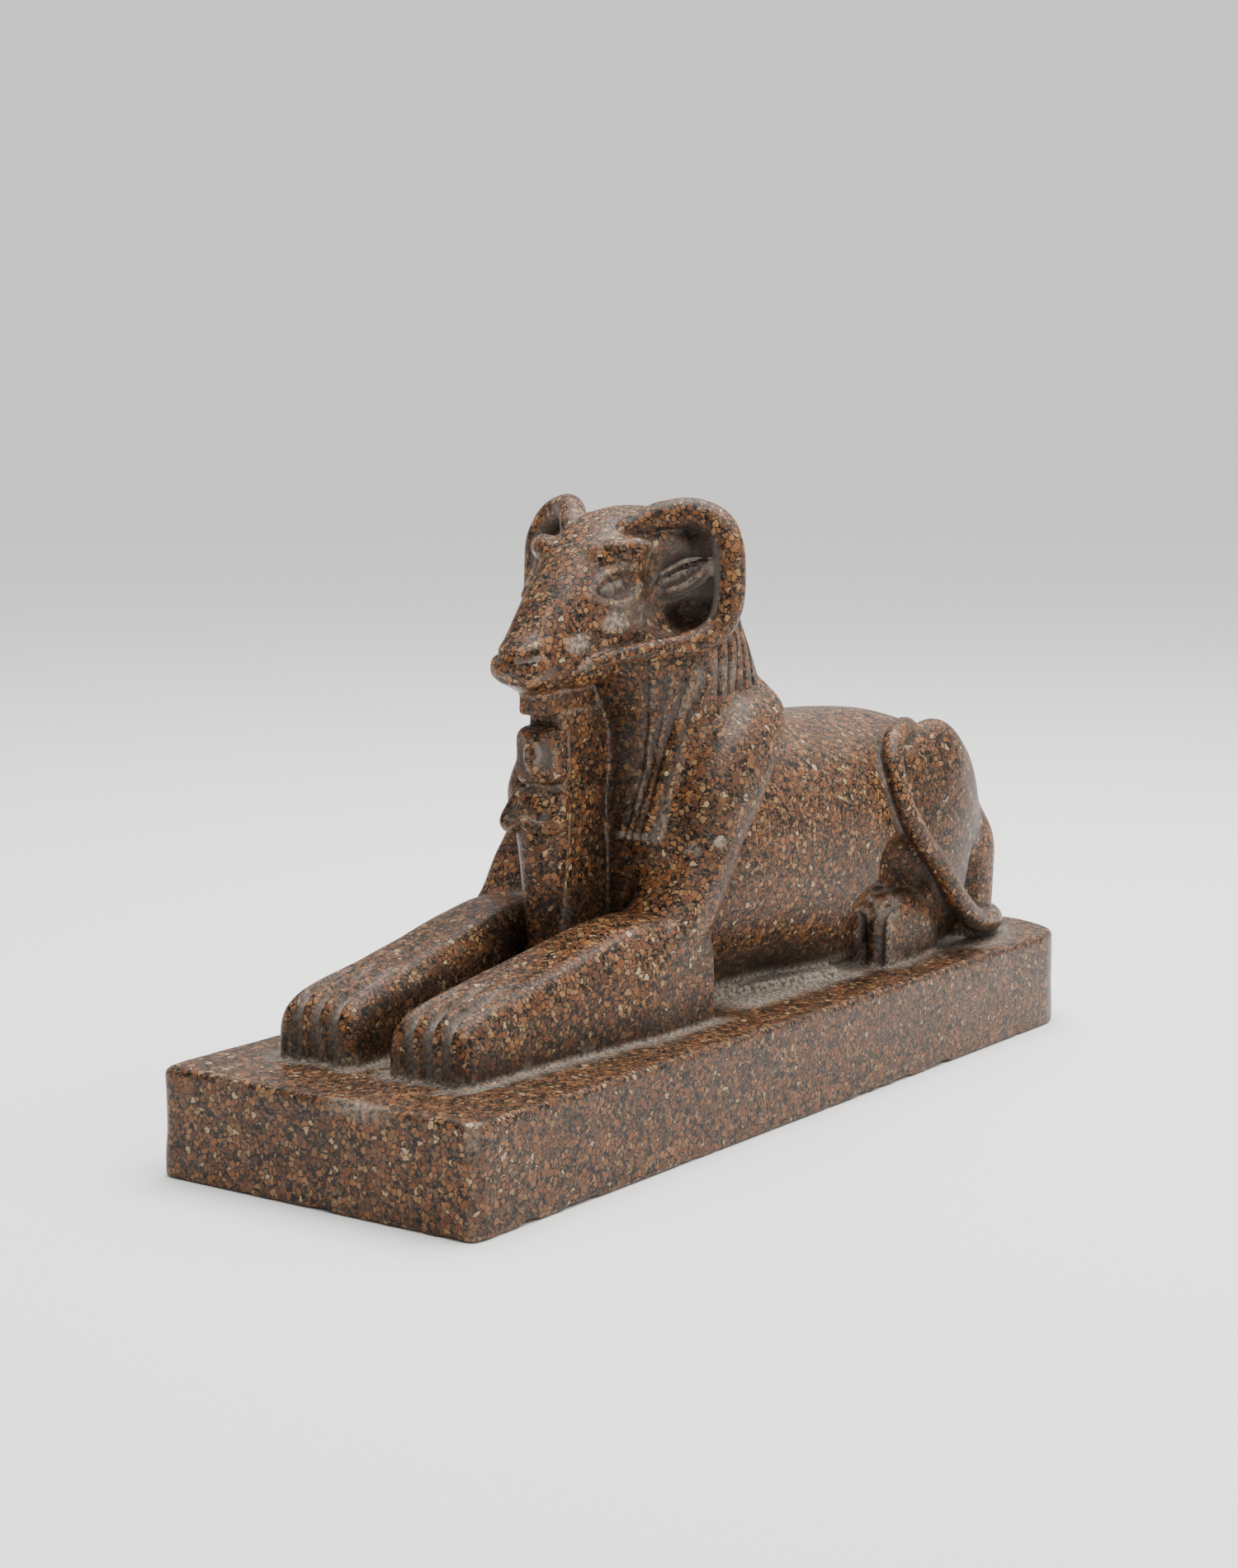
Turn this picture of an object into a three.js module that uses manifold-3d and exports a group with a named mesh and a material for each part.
// A ram-headed sphinx carved with its plinth from one block of red granite.
// Millimetres, +Z up. The statue looks along -Y, and +X is its own left side.
// The origin is the middle of the plinth's underside.
import * as THREE from 'three';
import Module from 'manifold-3d';

// Plinth
const PLINTH_LENGTH = 361;
const PLINTH_WIDTH = 120;
const PLINTH_HEIGHT = 34;
const PLINTH_BACK_BOW = 20;
const PLINTH_FRONT_CORNER = 3;
const PLINTH_BACK_CORNER = 9;
const PLINTH_ARRIS = 2.4;
const BACK_FULLNESS = 0.68;

// Figure: its height above the plinth's top, and how far its toes stand back from the front edge
const FIGURE_HEIGHT = 164;
const TOES_SETBACK = 31;

// Fineness of the facets
const GRID = 1.9;
const SOFTEST_JOIN = 2;
const FIGURE_FACES = 9100;
const BOW_STEPS = 10;

// The figure is described in shares of its height: 164 shares from the plinth's top to the horns.
const SHARES = 164;
const SHARE = FIGURE_HEIGHT / SHARES;

// Where the toes are and how deep the figure is sunk in the plinth, in shares
const TOES_AT = -149;
const SUNK = 5;

const GRANITE = new THREE.MeshStandardMaterial({ color: 0x8a6650, roughness: 0.42, metalness: 0 });

// Small helpers for the carving field: every form is a rule that gives the distance to its skin,
// negative inside the stone.
const clamp = (value, low, high) => Math.min(Math.max(value, low), high);

function ease(from, to, value) {
  const t = clamp((value - from) / (to - from), 0, 1);
  return t * t * (3 - 2 * t);
}

function soften(a, b, width) {
  const near = Math.max(width - Math.abs(a - b), 0) / width;
  return Math.min(a, b) - near * near * width / 4;
}

// A turned frame: yaw about Z, then tilt about X, then roll about Y
function frameOf(turn) {
  const radians = turn.map(THREE.MathUtils.degToRad);
  const euler = new THREE.Euler(radians[1], radians[2], radians[0], 'ZXY');
  return new THREE.Matrix4().makeRotationFromEuler(euler).elements;
}

// An egg with three half-sizes
function egg(middle, half, turn = [0, 0, 0]) {
  const m = frameOf(turn);
  const reach = Math.max(...half);
  return {
    low: middle.map((value) => value - reach),
    high: middle.map((value) => value + reach),
    at(x, y, z) {
      const dx = x - middle[0];
      const dy = y - middle[1];
      const dz = z - middle[2];
      const u = (m[0] * dx + m[1] * dy + m[2] * dz) / half[0];
      const v = (m[4] * dx + m[5] * dy + m[6] * dz) / half[1];
      const w = (m[8] * dx + m[9] * dy + m[10] * dz) / half[2];
      const spread = Math.hypot(u, v, w);
      const slope = Math.hypot(u / half[0], v / half[1], w / half[2]);
      return slope > 0 ? spread * (spread - 1) / slope : -Math.min(...half);
    },
  };
}

// A block with rounded edges
function block(middle, half, round, turn = [0, 0, 0]) {
  const m = frameOf(turn);
  const reach = Math.hypot(...half);
  return {
    low: middle.map((value) => value - reach),
    high: middle.map((value) => value + reach),
    at(x, y, z) {
      const dx = x - middle[0];
      const dy = y - middle[1];
      const dz = z - middle[2];
      const u = Math.abs(m[0] * dx + m[1] * dy + m[2] * dz) - half[0] + round;
      const v = Math.abs(m[4] * dx + m[5] * dy + m[6] * dz) - half[1] + round;
      const w = Math.abs(m[8] * dx + m[9] * dy + m[10] * dz) - half[2] + round;
      const outside = Math.hypot(Math.max(u, 0), Math.max(v, 0), Math.max(w, 0));
      return outside + Math.min(Math.max(u, v, w), 0) - round;
    },
  };
}

// A round bar along a smooth curve. Each stop is x, y, z and the bar's radius there.
function bar(stops, steps = 5) {
  const curve = new THREE.CatmullRomCurve3(stops.map(([x, y, z]) => new THREE.Vector3(x, y, z)));
  const count = (stops.length - 1) * steps;
  const beads = [];
  for (let i = 0; i <= count; i += 1) {
    const place = curve.getPoint(i / count);
    const stop = Math.min(Math.floor(i / steps), stops.length - 2);
    const part = i / steps - stop;
    const radius = stops[stop][3] * (1 - part) + stops[stop + 1][3] * part;
    beads.push([place.x, place.y, place.z, radius]);
  }
  const widest = Math.max(...stops.map((stop) => stop[3]));
  return {
    low: [0, 1, 2].map((axis) => Math.min(...beads.map((bead) => bead[axis])) - widest),
    high: [0, 1, 2].map((axis) => Math.max(...beads.map((bead) => bead[axis])) + widest),
    at(x, y, z) {
      let nearest = Infinity;
      for (let i = 0; i < count; i += 1) {
        const a = beads[i];
        const b = beads[i + 1];
        const ex = b[0] - a[0];
        const ey = b[1] - a[1];
        const ez = b[2] - a[2];
        const dx = x - a[0];
        const dy = y - a[1];
        const dz = z - a[2];
        const along = (dx * ex + dy * ey + dz * ez) / (ex * ex + ey * ey + ez * ez);
        const t = Math.min(Math.max(along, 0), 1);
        const gap = Math.hypot(dx - ex * t, dy - ey * t, dz - ez * t) - a[3] - (b[3] - a[3]) * t;
        if (gap < nearest) nearest = gap;
      }
      return nearest;
    },
  };
}

// A smooth value between stations, by the stations' own slopes
function between(stations, column, value) {
  const last = stations.length - 1;
  let i = 0;
  while (i < last - 1 && value > stations[i + 1][0]) i += 1;
  const from = stations[i];
  const to = stations[i + 1];
  const before = stations[Math.max(i - 1, 0)];
  const after = stations[Math.min(i + 2, last)];
  const span = to[0] - from[0];
  const t = clamp((value - from[0]) / span, 0, 1);
  const slopeIn = (to[column] - before[column]) / (to[0] - before[0]) * span;
  const slopeOut = (after[column] - from[column]) / (after[0] - from[0]) * span;
  const rise = to[column] - from[column];
  const bend = 3 * rise - 2 * slopeIn - slopeOut;
  const twist = slopeIn + slopeOut - 2 * rise;
  return from[column] + t * (slopeIn + t * (bend + t * twist));
}

// A long form with a changing section. The stations run along Y (axis 1) or Z (axis 2); each one
// is its place, the section's middle across and up, its half-width, and its half-heights on the
// high and on the low side. Power 2 is an ellipse, and more is squarer. Taper narrows the high side.
function loft(axis, stations, power, round, taper = 0) {
  const other = 3 - axis;
  const last = stations.length - 1;
  const low = [0, 0, 0];
  const high = [0, 0, 0];
  low[0] = Math.min(...stations.map((s) => s[1] - s[3] * (1 + taper))) - 1;
  high[0] = Math.max(...stations.map((s) => s[1] + s[3] * (1 + taper))) + 1;
  low[other] = Math.min(...stations.map((s) => s[2] - s[5])) - 1;
  high[other] = Math.max(...stations.map((s) => s[2] + s[4])) + 1;
  low[axis] = stations[0][0];
  high[axis] = stations[last][0];
  return {
    low,
    high,
    at(x, y, z) {
      const along = axis === 1 ? y : z;
      const up = axis === 1 ? z : y;
      const rise = up - between(stations, 2, along);
      const half = rise > 0 ? between(stations, 4, along) : between(stations, 5, along);
      const lift = clamp(rise / half, -1, 1);
      const width = between(stations, 3, along) * (1 - taper * lift);
      const side = x - between(stations, 1, along);
      const share = (Math.abs(side / width) ** power + Math.abs(rise / half) ** power) ** (1 / power);
      const skin = share > 1e-6 ? Math.hypot(side, rise) * (1 - 1 / share) : -Math.min(width, half);
      const ends = Math.max(stations[0][0] - along, along - stations[last][0]);
      return -soften(-skin, -ends, round);
    },
  };
}

// A form and its mirror image on the statue's other side
function pair(form) {
  return {
    low: [-form.high[0], form.low[1], form.low[2]],
    high: form.high,
    at: (x, y, z) => form.at(Math.abs(x), y, z),
  };
}

// The forelegs lie a little towards the statue's right at the toes.
const LEAN = 3;
function leaning(form) {
  return {
    low: [-form.high[0] - LEAN, form.low[1], form.low[2]],
    high: [form.high[0] + LEAN, form.high[1], form.high[2]],
    at: (x, y, z) => form.at(Math.abs(x + LEAN * ease(-55, -135, y)), y, z),
  };
}

const FAR = 1000;
const steps = [];
const add = (form, width) => steps.push({ form, width: Math.max(width, SOFTEST_JOIN), cut: false });
const cut = (form, width) => steps.push({ form, width, cut: true });

// Takes a skin of stone away, as deep as the rule says at each place in the box
const score = (low, high, at) => steps.push({ form: { low, high, at }, width: 0, score: true });

// Distance from a point to a form's box, zero inside it
function boxGap(form, x, y, z) {
  const gx = Math.max(form.low[0] - x, x - form.high[0], 0);
  const gy = Math.max(form.low[1] - y, y - form.high[1], 0);
  const gz = Math.max(form.low[2] - z, z - form.high[2], 0);
  return Math.hypot(gx, gy, gz);
}

// The whole figure's distance rule, step by step, with far steps passed over
function figureAt(x, y, z) {
  let value = FAR;
  for (const { form, width, cut: cutting, score: scoring } of steps) {
    if (scoring) {
      if (boxGap(form, x, y, z) === 0) value += form.at(x, y, z);
      continue;
    }
    const before = cutting ? -value : value;
    if (boxGap(form, x, y, z) < before + width) {
      const after = soften(before, form.at(x, y, z), width);
      value = cutting ? -after : after;
    }
  }
  return value;
}

// Barrel, back and belly
function carveTrunk() {
  add(loft(1, [
    [-45, 0, 45, 30, 34, 40],
    [-15, 0, 46, 37, 40, 44],
    [15, 0, 46, 41, 43, 46],
    [45, 0, 46, 43, 42, 54],
    [70, 0, 46, 44, 40, 56],
    [95, 0, 46, 41, 39, 56],
    [120, 0, 45, 37, 36.5, 54],
    [140, 0, 42, 31, 32, 50],
    [153, 0, 38, 22, 23, 46],
    [160, 0, 36, 12, 12, 44],
  ], 2.3, 8), 0.1);
  add(block([0, 24, 0], [30, 34, 2.6], 1.5, [-14, 0, 0]), 2);
}

// Chest between the forelegs, the neck, the lappets that end squarely above the chest, and the
// hood of fleece that spreads behind the horns
function carveNeck() {
  add(loft(2, [
    [-4, 0, -15, 22, 60, 26],
    [30, 0, -15, 24, 60, 27],
    [60, 0, -15, 26, 55, 27],
    [75, 0, -15, 24, 50, 27],
  ], 2.6, 4), 6);
  add(loft(2, [
    [57, 0, -12, 27, 46, 35],
    [75, 0, -12, 29, 50, 33],
    [91, 0, -12, 30, 51, 33],
    [102, 0, -12, 30, 40, 38],
    [113, 0, -14, 30, 35, 40],
    [124, 0, -16, 28, 30, 36],
    [138, 0, -20, 27, 24, 26],
    [150, 0, -22, 24, 17, 18],
    [158, 0, -24, 18, 10, 12],
  ], 2.6, 2.5), 2);
  add(pair(loft(2, [
    [57, 17.5, -35, 8.6, 14, 14.5],
    [69, 18.5, -29, 9.4, 14, 15],
    [91, 20, -20, 10, 14, 15.5],
    [112, 21, -16, 10, 14, 16],
    [119, 21, -16, 9.6, 14, 16],
  ], 4, 1.5)), 1.5);
  add(loft(2, [
    [108, 0, -14, 29.5, 36, 8],
    [122, 0, -14, 29.5, 29, 8],
    [133, 0, -14, 30, 21, 8],
    [143, 0, -14, 30, 14, 8],
    [151, 0, -15, 28, 9, 8],
    [158, 0, -18, 23, 5, 6],
  ], 2.4, 3), 2.5);
  add(pair(egg([28, -18.5, 139.5], [13, 4.6, 19])), 2);
}

function carveShoulders() {
  add(pair(loft(2, [
    [-4, 26, -58, 15, 24, 24],
    [18, 26, -57, 15.2, 24, 24],
    [35, 29, -42.5, 13.5, 17.5, 12.5],
    [45, 29.5, -35.5, 13.6, 15.5, 11],
    [55, 29.5, -27, 14, 11, 12],
    [69, 28, -20, 17, 17, 19],
    [85, 24, -8, 19, 20, 22],
    [95, 20, 2, 17.5, 18, 21],
    [102, 16, 6, 12, 15, 17],
    [105.5, 14, 8, 6, 9, 10],
  ], 2.8, 4)), 3);
}

function carveForelegs() {
  add(leaning(loft(1, [
    [-151, 21.5, 0, 14.6, 13.5, 9],
    [-148, 21.5, 0, 15.4, 17.6, 9],
    [-143.5, 21.5, 0, 15.7, 20.4, 9],
    [-134, 21.7, 0, 15.8, 22.6, 9],
    [-118, 22, 0, 15.8, 25.6, 9],
    [-100, 23, 0, 15.6, 29.4, 9],
    [-80, 24.5, 0, 15.2, 34, 9],
    [-60, 26, 0, 15, 36.5, 9],
    [-33, 26.5, 0, 14.8, 34, 9],
  ], 4.2, 3)), 2);
}

// Four toes on each forepaw, parted by three grooves that run back over the paw
const TOE_INNER = 7.4;
const TOE_WIDTH = 7.1;
const TOE_GROOVE = 2.1;
const TOE_DEPTH = 3.3;

function toeDepth(x, y) {
  const side = Math.abs(x + LEAN * ease(-55, -135, y)) - TOE_INNER;
  const off = Math.abs(side - TOE_WIDTH * clamp(Math.round(side / TOE_WIDTH), 1, 3));
  return TOE_DEPTH * ease(-117, -141, y) * ease(TOE_GROOVE, 0.35 * TOE_GROOVE, off);
}

function carveToes() {
  score([-42, -154, -1], [38, -117, 30], toeDepth);
}

// Three toes on each hind paw
const HIND_GROOVES = [33, 39.6];
const HIND_GROOVE = 1.9;
const HIND_DEPTH = 2.6;

function hindToeDepth(x, y) {
  const off = Math.min(...HIND_GROOVES.map((line) => Math.abs(Math.abs(x) - line)));
  return HIND_DEPTH * ease(88, 76, y) * ease(HIND_GROOVE, 0.35 * HIND_GROOVE, off);
}

// Thighs, buttocks and hind paws
function carveHindquarters() {
  add(pair(egg([31, 111, 38], [14.5, 35, 43], [0, 6, 4])), 2.5);
  add(pair(egg([32, 113.5, 59.5], [12, 16, 21], [0, 0, 6])), 3);
  add(pair(egg([32, 98, 61], [9.5, 16, 18])), 3);
  add(pair(loft(2, [
    [-4, 27, 142.5, 14, 9.5, 20],
    [20, 28, 143, 14, 10, 18],
    [36, 28, 141.5, 14, 11.5, 17],
    [50, 25, 134, 13, 12, 16],
    [64, 20, 124, 10, 10, 14],
  ], 2.2, 5)), 2.5);
  cut(pair(egg([44, 132.5, 27], [6.5, 3.6, 15.5])), 3);
  cut(pair(egg([45, 83, 31], [11, 19, 12], [0, -22, 0])), 3);
  add(pair(loft(1, [
    [68.5, 33.5, 0, 8.6, 12, 9],
    [71.5, 33.5, 0, 9.8, 18.5, 9],
    [79, 33.5, 0, 10.2, 22.8, 9],
    [90, 33, 0, 10, 24.6, 9],
    [101, 32.6, 0, 9.6, 22.5, 9],
    [110, 32, 0, 8, 14, 9],
  ], 3.4, 3)), 1.2);
  score([23, 66, -1], [48, 90, 28], hindToeDepth);
  score([-48, 66, -1], [-23, 90, 28], hindToeDepth);
}

// The tail comes from behind the rump, lies over the left thigh only and ends on top of it.
function carveTail() {
  add(bar([
    [22, 157.5, 5, 4.4],
    [34, 154.5, 4.8, 4.5],
    [43, 141, 5.2, 4.6],
    [46, 123, 9, 4.6],
    [47, 109, 18.5, 4.5],
    [47, 96.5, 31.8, 4.5],
    [46.5, 83, 44, 4.4],
    [45.3, 73.5, 57, 4.3],
    [41.5, 73.5, 69, 4.2],
    [37, 81.5, 77.2, 4.2],
    [34.5, 91, 79.8, 4.1],
    [31, 101, 78.6, 3.8],
    [27, 109, 75, 3.4],
  ]), 1);
}

function carveHead() {
  add(loft(1, [
    [-88, 0, 114.5, 5.4, 3.2, 3.5],
    [-84.5, 0, 114.5, 8.8, 6.4, 5.8],
    [-79, 0, 115.5, 10.6, 9.8, 8.8],
    [-72, 0, 118.5, 12.4, 14.5, 12.5],
    [-63, 0, 122.5, 15.2, 19.5, 17.5],
    [-54, 0, 127.5, 18.2, 22.5, 22],
    [-45, 0, 131, 20.8, 25, 24],
    [-34, 0, 133, 22, 27, 25],
    [-20, 0, 133, 22, 28, 23],
    [-6, 0, 133, 20, 24, 20],
    [3, 0, 132, 14, 16, 14],
  ], 2.7, 2.5, 0.14), 2);
  add(pair(bar([
    [9, -52, 147, 3],
    [14, -49, 147.6, 4.2],
    [18.5, -44, 148, 4.6],
    [21, -38.5, 147.6, 3.4],
  ])), 4);
  cut(pair(egg([20.8, -53.5, 136.5], [5.6, 12.5, 7], [-17, 25, 0])), 3);
  cut(pair(egg([34, -38, 139], [16, 15.5, 17.5])), 3);
  cut(pair(egg([29, -46, 128], [9, 14, 8], [0, 12, 0])), 5);
  add(pair(egg([12.2, -54.2, 137], [4.6, 9.2, 4.2], [-17, 25, 0])), 0.8);
}

// Horns curl back round the ears and taper forward along the jaw.
function carveHorns() {
  add(pair(bar([
    [11, -40, 154, 4],
    [17.5, -31, 158, 5],
    [25, -24, 158.8, 5.3],
    [32.6, -21.5, 155.6, 5.3],
    [37.2, -21.8, 148.5, 5],
    [38.4, -22, 139, 4.7],
    [38.2, -23, 130, 4.6],
    [35.5, -27, 122.3, 4.2],
    [31, -35, 119.4, 3.7],
    [26, -45, 118.5, 3.2],
    [20.5, -56, 116.8, 2.7],
    [15.5, -64, 114.6, 2.1],
    [12, -70, 112.4, 1.2],
  ])), 1.4);
  add(pair(bar([
    [19, -35, 137, 3.4],
    [25, -31, 139.6, 4.6],
    [30, -28, 141.6, 3.6],
    [34, -26, 143.6, 1.2],
  ])), 1.2);
}

function carveMouth() {
  add(block([0, -62, 102.2], [6.6, 13, 4.7], 1.8), 1);
  add(egg([0, -74, 108.5], [9, 7.5, 4]), 2);
  cut(pair(bar([
    [0, -87, 111.6, 0.9],
    [5, -84.8, 111, 0.9],
    [8.8, -80.5, 111.4, 0.9],
    [11, -74, 113, 0.7],
  ])), 1.2);
  cut(pair(bar([[3.5, -86, 117, 0.9], [7, -83.5, 118.4, 1.1], [9.2, -79, 118, 0.8]])), 1.2);
}

// Fleece: long grooves down each lappet and down the nape, spread like a fan from under the horns.
// Each row is a height and the places of the lappet's grooves there.
const LAPPET_LINES = [
  [107, 21.2, 25.4, 29.6],
  [86, 17, 21.2, 26],
  [59, 14.6, 18.8, 23.6],
];
const LAPPET_TOP = 121;
const LAPPET_FOOT = 57;
const NAPE_STEP = 16;
const NAPE_SPREAD = 96;
const NAPE_MIDDLE = -14;
const LINE_WIDTH = 1.6;
const LINE_DEPTH = 1.3;

// A round-bottomed groove, from 0 beside it to 1 along its middle
const groove = (off) => Math.max(1 - (off / LINE_WIDTH) ** 2, 0);

function lappetDepth(x, y, z) {
  const row = z > LAPPET_LINES[1][0] ? 0 : 1;
  const [from, to] = [LAPPET_LINES[row], LAPPET_LINES[row + 1]];
  const part = clamp((z - from[0]) / (to[0] - from[0]), 0, 1);
  let depth = 0;
  for (let line = 1; line < from.length; line += 1) {
    depth = Math.max(depth, groove(Math.abs(x) - from[line] - (to[line] - from[line]) * part));
  }
  const fade = ease(LAPPET_FOOT - 1, LAPPET_FOOT + 2, z) * ease(LAPPET_TOP, LAPPET_TOP - 4, z);
  return LINE_DEPTH * depth * fade * ease(-22, -25, y);
}

function napeDepth(x, y, z) {
  const angle = THREE.MathUtils.radToDeg(Math.atan2(Math.abs(x), y - NAPE_MIDDLE));
  const off = (angle + NAPE_STEP / 2) % NAPE_STEP - NAPE_STEP / 2;
  const depth = groove(THREE.MathUtils.degToRad(off) * Math.hypot(x, y - NAPE_MIDDLE));
  const fade = ease(99, 103, z) * ease(154, 148, z) * ease(NAPE_SPREAD + 9, NAPE_SPREAD + 1, angle);
  return LINE_DEPTH * depth * fade;
}

function carveFleece() {
  score([-31, -60, LAPPET_FOOT], [31, -20, LAPPET_TOP], lappetDepth);
  score([-42, -14, 98], [42, 42, 156], napeDepth);
}

// A pillar under the chin, with a small wrapped royal figure standing against its front
function carvePillar() {
  add(block([0, -52, 48], [7, 16.7, 52], 1), 0.8);
}

function carveKing() {
  add(loft(2, [
    [14, 0, -68, 4.6, 5, 6],
    [19, 0, -68, 5.2, 5, 8],
    [25, 0, -68, 5.4, 5, 7],
    [42, 0, -68, 6.8, 5, 8.5],
    [56, 0, -68, 8, 5, 9.6],
    [64, 0, -68, 8.6, 5, 11],
    [72, 0, -68, 8.8, 5, 9],
    [76.5, 0, -68, 5, 5, 6],
  ], 2.4, 2.5), 0.8);
  add(block([0, -69.5, 85.3], [8.2, 6.5, 9.4], 3), 0.8);
  cut(pair(egg([5.7, -77.5, 84.5], [2.2, 3.2, 6.6], [0, 0, 0])), 0.8);
  add(egg([0, -73.5, 86], [3.9, 5, 6.2]), 0.7);
  add(pair(bar([
    [7.8, -71.5, 72, 2.8],
    [9.4, -76, 64.5, 2.9],
    [4.5, -79, 63.5, 2.4],
    [-2, -80.2, 67, 2],
  ])), 0.9);
  cut(bar([[0, -79.6, 58, 0.6], [0, -78, 45, 1], [0, -75.6, 28, 1], [0, -77.4, 16, 0.8]]), 1.2);
}

carveTrunk();
carveNeck();
carveShoulders();
carveForelegs();
carveToes();
carveHindquarters();
carveTail();
carveHead();
carveHorns();
carveMouth();
carveFleece();
carvePillar();
carveKing();

// The figure's box in shares, with room round it
const BOX_LOW = [-50, -153, -SUNK - 2];
const BOX_HIGH = [54, 168, 168];

// A triangle's normal, as long as twice its area
function crossOf(a, b, c) {
  const u = [b[0] - a[0], b[1] - a[1], b[2] - a[2]];
  const v = [c[0] - a[0], c[1] - a[1], c[2] - a[2]];
  return [u[1] * v[2] - u[2] * v[1], u[2] * v[0] - u[0] * v[2], u[0] * v[1] - u[1] * v[0]];
}

// A cube of the grid is cut into six tetrahedra round its long diagonal.
const CUBE_ROUND = '132645';
const BLOCK_CELLS = 6;

// The skin of the field as a closed mesh, by marching through tetrahedra. It starts in the blocks
// of cells that lie near the surface, and goes on to each block that the surface runs into.
function skinOf(field, low, high, cell) {
  const blocks = low.map((value, axis) => Math.ceil((high[axis] - value) / cell / BLOCK_CELLS));
  const [nx, ny, nz] = blocks.map((value) => value * BLOCK_CELLS + 1);
  const samples = new Float64Array(nx * ny * nz).fill(NaN);
  const corners = new Map();
  const places = [];
  const faces = [];
  const keyOf = (i, j, k) => i + nx * (j + ny * k);
  const sampleAt = (i, j, k) => {
    const key = keyOf(i, j, k);
    if (Number.isNaN(samples[key])) {
      samples[key] = field(low[0] + i * cell, low[1] + j * cell, low[2] + k * cell) || 1e-9;
    }
    return samples[key];
  };
  const cornerBetween = (a, b) => {
    const [first, second] = a.key < b.key ? [a, b] : [b, a];
    const key = first.key * 8 + (second.i - first.i) + 2 * (second.j - first.j) + 4 * (second.k - first.k);
    let index = corners.get(key);
    if (index === undefined) {
      const t = clamp(first.value / (first.value - second.value), 0.04, 0.96);
      index = places.length;
      places.push([
        low[0] + cell * (first.i + t * (second.i - first.i)),
        low[1] + cell * (first.j + t * (second.j - first.j)),
        low[2] + cell * (first.k + t * (second.k - first.k)),
      ]);
      corners.set(key, index);
    }
    return index;
  };
  const face = (a, b, c, inside) => {
    const [p, q, r] = [places[a], places[b], places[c]];
    const [nX, nY, nZ] = crossOf(p, q, r);
    const toX = p[0] - (low[0] + cell * inside.i);
    const toY = p[1] - (low[1] + cell * inside.j);
    const toZ = p[2] - (low[2] + cell * inside.k);
    faces.push(nX * toX + nY * toY + nZ * toZ > 0 ? [a, b, c] : [a, c, b]);
  };
  const cutTetrahedron = (points) => {
    const inner = points.filter((point) => point.value < 0);
    const outer = points.filter((point) => point.value > 0);
    if (inner.length === 1) {
      face(...outer.map((point) => cornerBetween(inner[0], point)), inner[0]);
    } else if (inner.length === 3) {
      face(...inner.map((point) => cornerBetween(point, outer[0])), inner[0]);
    } else if (inner.length === 2) {
      const a = cornerBetween(inner[0], outer[0]);
      const b = cornerBetween(inner[0], outer[1]);
      const c = cornerBetween(inner[1], outer[1]);
      const d = cornerBetween(inner[1], outer[0]);
      face(a, b, c, inner[0]);
      face(a, c, d, inner[0]);
    }
  };
  const cutCube = (i, j, k) => {
    const inside = sampleAt(i, j, k) < 0;
    let crossed = false;
    for (let corner = 1; corner < 8 && !crossed; corner += 1) {
      crossed = sampleAt(i + (corner & 1), j + ((corner >> 1) & 1), k + (corner >> 2)) < 0 !== inside;
    }
    if (!crossed) return;
    const points = [];
    for (let corner = 0; corner < 8; corner += 1) {
      const [pi, pj, pk] = [i + (corner & 1), j + ((corner >> 1) & 1), k + (corner >> 2)];
      points.push({ i: pi, j: pj, k: pk, key: keyOf(pi, pj, pk), value: sampleAt(pi, pj, pk) });
    }
    const ring = [...CUBE_ROUND].map((corner) => points[corner]);
    ring.forEach((point, turn) => {
      cutTetrahedron([points[0], points[7], point, ring[(turn + 1) % ring.length]]);
    });
  };
  const blockKey = (bi, bj, bk) => bi + blocks[0] * (bj + blocks[1] * bk);
  const met = new Uint8Array(blocks[0] * blocks[1] * blocks[2]);
  const waiting = [];
  const meet = (bi, bj, bk) => {
    const within = [bi, bj, bk].every((value, axis) => value >= 0 && value < blocks[axis]);
    if (!within || met[blockKey(bi, bj, bk)]) return;
    met[blockKey(bi, bj, bk)] = 1;
    waiting.push([bi, bj, bk]);
  };
  const sideCrossed = (place, axis, offset) => {
    const [u, v] = [(axis + 1) % 3, (axis + 2) % 3];
    const at = place.map((value) => value * BLOCK_CELLS);
    at[axis] += offset;
    const start = [...at];
    const inside = sampleAt(...start) < 0;
    for (let a = 0; a <= BLOCK_CELLS; a += 1) {
      for (let b = 0; b <= BLOCK_CELLS; b += 1) {
        at[u] = start[u] + a;
        at[v] = start[v] + b;
        if (sampleAt(...at) < 0 !== inside) return true;
      }
    }
    return false;
  };
  const reach = cell * BLOCK_CELLS;
  for (let n = 0; n < met.length; n += 1) {
    const place = [n, Math.floor(n / blocks[0]), Math.floor(n / blocks[0] / blocks[1])]
      .map((value, axis) => value % blocks[axis]);
    const middle = place.map((value, axis) => low[axis] + (value + 0.5) * reach);
    if (Math.abs(field(...middle)) < reach) meet(...place);
  }
  while (waiting.length > 0) {
    const place = waiting.pop();
    for (let c = 0; c < BLOCK_CELLS ** 3; c += 1) {
      const along = Math.floor(c / BLOCK_CELLS) % BLOCK_CELLS;
      const up = Math.floor(c / BLOCK_CELLS ** 2);
      const [i, j, k] = place.map((value) => value * BLOCK_CELLS);
      cutCube(i + (c % BLOCK_CELLS), j + along, k + up);
    }
    for (let axis = 0; axis < 3; axis += 1) {
      for (const [offset, step] of [[0, -1], [BLOCK_CELLS, 1]]) {
        if (!sideCrossed(place, axis, offset)) continue;
        meet(...place.map((value, other) => value + (other === axis ? step : 0)));
      }
    }
  }
  return { places, faces };
}

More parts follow.
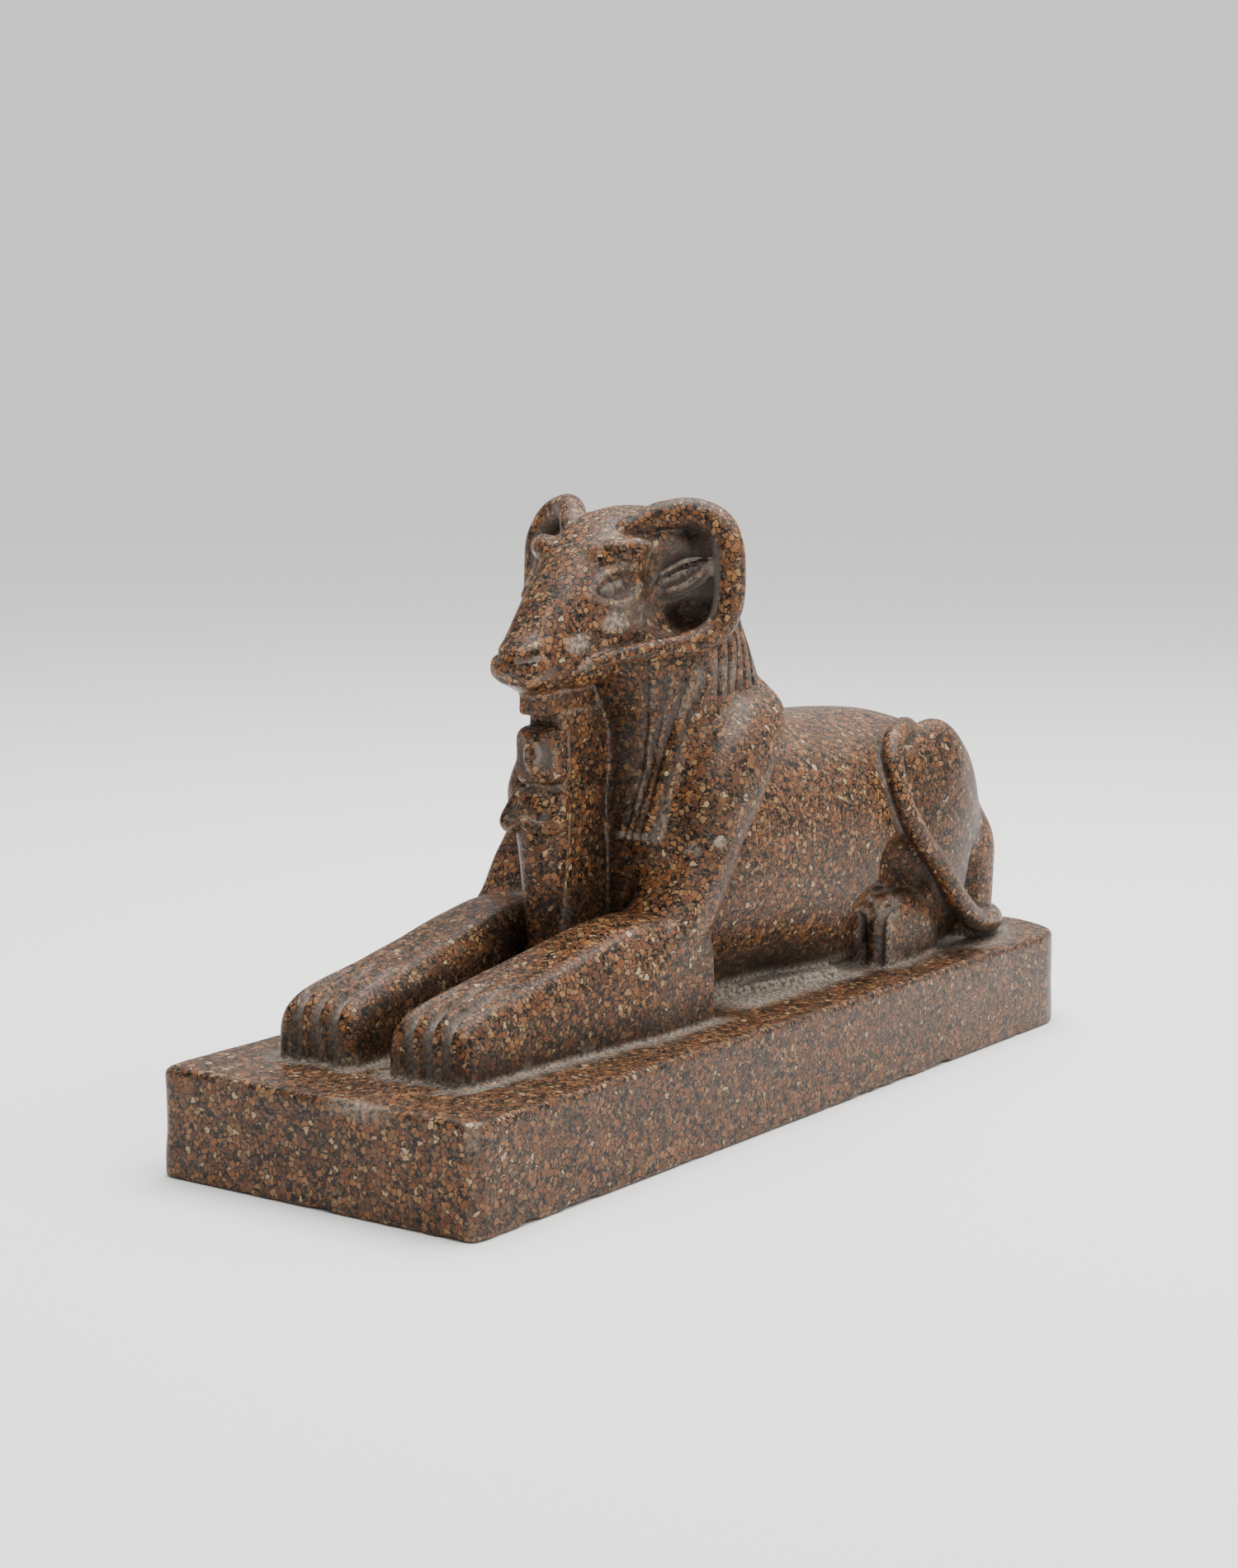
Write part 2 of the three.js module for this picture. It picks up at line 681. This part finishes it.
// A queue that gives the smallest cost first
function makeQueue() {
  const heap = [];
  const swap = (a, b) => {
    const held = heap[a];
    heap[a] = heap[b];
    heap[b] = held;
  };
  return {
    push(entry) {
      heap.push(entry);
      let at = heap.length - 1;
      while (at > 0 && heap[at].cost < heap[(at - 1) >> 1].cost) {
        swap(at, (at - 1) >> 1);
        at = (at - 1) >> 1;
      }
    },
    pop() {
      const top = heap[0];
      const last = heap.pop();
      if (heap.length > 0) {
        heap[0] = last;
        let at = 0;
        for (;;) {
          let best = at;
          for (const child of [2 * at + 1, 2 * at + 2]) {
            if (child < heap.length && heap[child].cost < heap[best].cost) best = child;
          }
          if (best === at) break;
          swap(at, best);
          at = best;
        }
      }
      return top;
    },
    get size() {
      return heap.length;
    },
  };
}

// Facets a fine skin: edges whose loss changes the form least are closed up first.
function facet({ places, faces }, target) {
  const around = places.map(() => new Set());
  const planes = places.map(() => new Float64Array(10));
  const stamp = new Int32Array(places.length);
  faces.forEach((corners, index) => {
    const [a, b, c] = corners.map((corner) => places[corner]);
    const cross = crossOf(a, b, c);
    const size = Math.hypot(...cross);
    corners.forEach((corner) => around[corner].add(index));
    if (size === 0) return;
    const n = cross.map((value) => value / size);
    const d = -(n[0] * a[0] + n[1] * a[1] + n[2] * a[2]);
    const terms = [n[0] * n[0], n[0] * n[1], n[0] * n[2], n[0] * d, n[1] * n[1], n[1] * n[2], n[1] * d,
      n[2] * n[2], n[2] * d, d * d];
    for (const corner of corners) {
      for (let t = 0; t < 10; t += 1) planes[corner][t] += terms[t] * size;
    }
  });
  const errorAt = (q, x, y, z) => q[0] * x * x + 2 * q[1] * x * y + 2 * q[2] * x * z + 2 * q[3] * x
    + q[4] * y * y + 2 * q[5] * y * z + 2 * q[6] * y + q[7] * z * z + 2 * q[8] * z + q[9];
  const bestPlace = (q, a, b) => {
    const [xx, xy, xz, xd, yy, yz, yd, zz, zd] = q;
    const det = xx * (yy * zz - yz * yz) - xy * (xy * zz - yz * xz) + xz * (xy * yz - yy * xz);
    const middle = a.map((value, axis) => (value + b[axis]) / 2);
    const choices = [a, b, middle];
    const size = xx + yy + zz;
    if (det > 1e-4 * size ** 3) {
      const x = (-xd * (yy * zz - yz * yz) + xy * (yd * zz - yz * zd) - xz * (yd * yz - yy * zd)) / det;
      const y = (xx * (-yd * zz + zd * yz) + xd * (xy * zz - yz * xz) + xz * (-xy * zd + xz * yd)) / det;
      const z = (xx * (-yy * zd + yz * yd) - xy * (-xy * zd + xz * yd) - xd * (xy * yz - yy * xz)) / det;
      const away = Math.hypot(x - middle[0], y - middle[1], z - middle[2]);
      const length = Math.hypot(a[0] - b[0], a[1] - b[1], a[2] - b[2]);
      if (away < length) choices.push([x, y, z]);
    }
    let best = null;
    for (const place of choices) {
      const error = errorAt(q, ...place);
      if (!best || error < best.error) best = { place, error };
    }
    return best;
  };
  const queue = makeQueue();
  const offer = (a, b) => {
    const q = planes[a].map((value, t) => value + planes[b][t]);
    const { place, error } = bestPlace(q, places[a], places[b]);
    const length = Math.hypot(...places[a].map((value, axis) => value - places[b][axis]));
    const cost = Math.max(error, 0) + 1e-5 * length ** 4;
    queue.push({ cost, a, b, place, mark: stamp[a] + stamp[b], q });
  };
  const neighbours = (corner) => {
    const found = new Set();
    for (const index of around[corner]) faces[index].forEach((other) => found.add(other));
    found.delete(corner);
    return found;
  };
  const turnsOver = (corner, partner, place) => {
    for (const index of around[corner]) {
      const corners = faces[index];
      if (corners.includes(partner)) continue;
      const before = crossOf(...corners.map((other) => places[other]));
      const after = crossOf(...corners.map((other) => (other === corner ? place : places[other])));
      const dot = before[0] * after[0] + before[1] * after[1] + before[2] * after[2];
      const sizes = Math.hypot(...before) * Math.hypot(...after);
      if (dot < 0.25 * sizes || Math.hypot(...after) < 1e-3) return true;
    }
    return false;
  };
  faces.forEach((corners) => {
    corners.forEach((corner, turn) => {
      const next = corners[(turn + 1) % 3];
      if (corner < next) offer(corner, next);
    });
  });
  let live = faces.length;
  while (live > target && queue.size > 0) {
    const { a, b, place, mark, q } = queue.pop();
    if (stamp[a] < 0 || stamp[b] < 0 || mark !== stamp[a] + stamp[b]) continue;
    const ringA = neighbours(a);
    const ringB = neighbours(b);
    if (!ringA.has(b)) continue;
    const shared = [...ringA].filter((corner) => ringB.has(corner));
    if (shared.length !== 2 || turnsOver(a, b, place) || turnsOver(b, a, place)) continue;
    places[a] = place;
    planes[a] = q;
    for (const index of [...around[b]]) {
      const corners = faces[index];
      if (corners.includes(a)) {
        corners.forEach((corner) => around[corner].delete(index));
        faces[index] = null;
        live -= 1;
      } else {
        corners[corners.indexOf(b)] = a;
        around[a].add(index);
      }
    }
    stamp[b] = -1;
    const fresh = neighbours(a);
    stamp[a] += 1;
    for (const corner of fresh) offer(Math.min(a, corner), Math.max(a, corner));
  }
  const rename = new Map();
  const kept = [];
  const keptFaces = faces.filter(Boolean).map((corners) => corners.map((corner) => {
    if (!rename.has(corner)) {
      rename.set(corner, kept.length);
      kept.push(places[corner]);
    }
    return rename.get(corner);
  }));
  return { places: kept, faces: keptFaces };
}

// The plinth's outline from above: a straight front, straight sides and a bowed back
function plinthOutline() {
  const side = PLINTH_WIDTH / 2;
  const end = PLINTH_LENGTH / 2;
  const turn = Math.max(PLINTH_FRONT_CORNER, 1.3 * PLINTH_ARRIS);
  const sideEnd = end - PLINTH_BACK_BOW - PLINTH_BACK_CORNER;
  const shape = new THREE.Shape();
  shape.moveTo(0, -end);
  shape.absarc(side - turn, turn - end, turn, -Math.PI / 2, 0);
  shape.lineTo(side, sideEnd);
  shape.bezierCurveTo(side, end - PLINTH_BACK_BOW / 2, side * BACK_FULLNESS, end, 0, end);
  shape.bezierCurveTo(-side * BACK_FULLNESS, end, -side, end - PLINTH_BACK_BOW / 2, -side, sideEnd);
  shape.absarc(turn - side, turn - end, turn, Math.PI, Math.PI * 1.5);
  return shape;
}

function plinthGeometry() {
  const inset = new THREE.ExtrudeGeometry(plinthOutline(), {
    depth: PLINTH_HEIGHT - 2 * PLINTH_ARRIS,
    bevelEnabled: true,
    bevelThickness: PLINTH_ARRIS,
    bevelSize: PLINTH_ARRIS,
    bevelOffset: -PLINTH_ARRIS,
    bevelSegments: 2,
    curveSegments: BOW_STEPS,
  });
  inset.translate(0, 0, PLINTH_ARRIS);
  return inset;
}

const wasm = await Module();
wasm.setup();

// Corners at one place become one corner, so that the mesh is closed.
const SAME_PLACE = 1e-4;
function solidOf(positions, indices) {
  const names = new Map();
  const vertices = [];
  const corners = indices.map((index) => {
    const place = [0, 1, 2].map((axis) => positions[3 * index + axis]);
    const key = place.map((value) => Math.round(value / SAME_PLACE)).join(' ');
    if (!names.has(key)) {
      names.set(key, vertices.length / 3);
      vertices.push(...place);
    }
    return names.get(key);
  });
  const kept = [];
  for (let i = 0; i < corners.length; i += 3) {
    const [a, b, c] = corners.slice(i, i + 3);
    if (a !== b && b !== c && c !== a) kept.push(a, b, c);
  }
  return new wasm.Manifold(new wasm.Mesh({
    numProp: 3,
    vertProperties: new Float32Array(vertices),
    triVerts: new Uint32Array(kept),
  }));
}

function figureSolid() {
  const skin = skinOf((x, y, z) => -soften(-figureAt(x, y, z), z + SUNK, 0.5), BOX_LOW, BOX_HIGH, GRID);
  const { places, faces } = facet(skin, FIGURE_FACES);
  const forward = -PLINTH_LENGTH / 2 + TOES_SETBACK - TOES_AT * SHARE;
  const scaled = places.map((place) => place.map((value) => value * SHARE));
  const positions = scaled.flatMap(([x, y, z]) => [x, y + forward, z + PLINTH_HEIGHT]);
  return solidOf(positions, faces.flat());
}

function plinthSolid() {
  const geometry = plinthGeometry();
  const positions = Array.from(geometry.attributes.position.array);
  const indices = geometry.index
    ? Array.from(geometry.index.array)
    : positions.slice(0, positions.length / 3).map((value, index) => index);
  return solidOf(positions, indices);
}

function geometryOf(solid) {
  const { vertProperties, triVerts } = solid.getMesh();
  const geometry = new THREE.BufferGeometry();
  geometry.setAttribute('position', new THREE.BufferAttribute(new Float32Array(vertProperties), 3));
  geometry.setIndex(new THREE.BufferAttribute(new Uint32Array(triVerts), 1));
  geometry.computeVertexNormals();
  return geometry;
}

const statue = new THREE.Group();
const stone = new THREE.Mesh(geometryOf(figureSolid().add(plinthSolid())), GRANITE);
stone.name = 'ram_sphinx';
statue.add(stone);

export default statue;
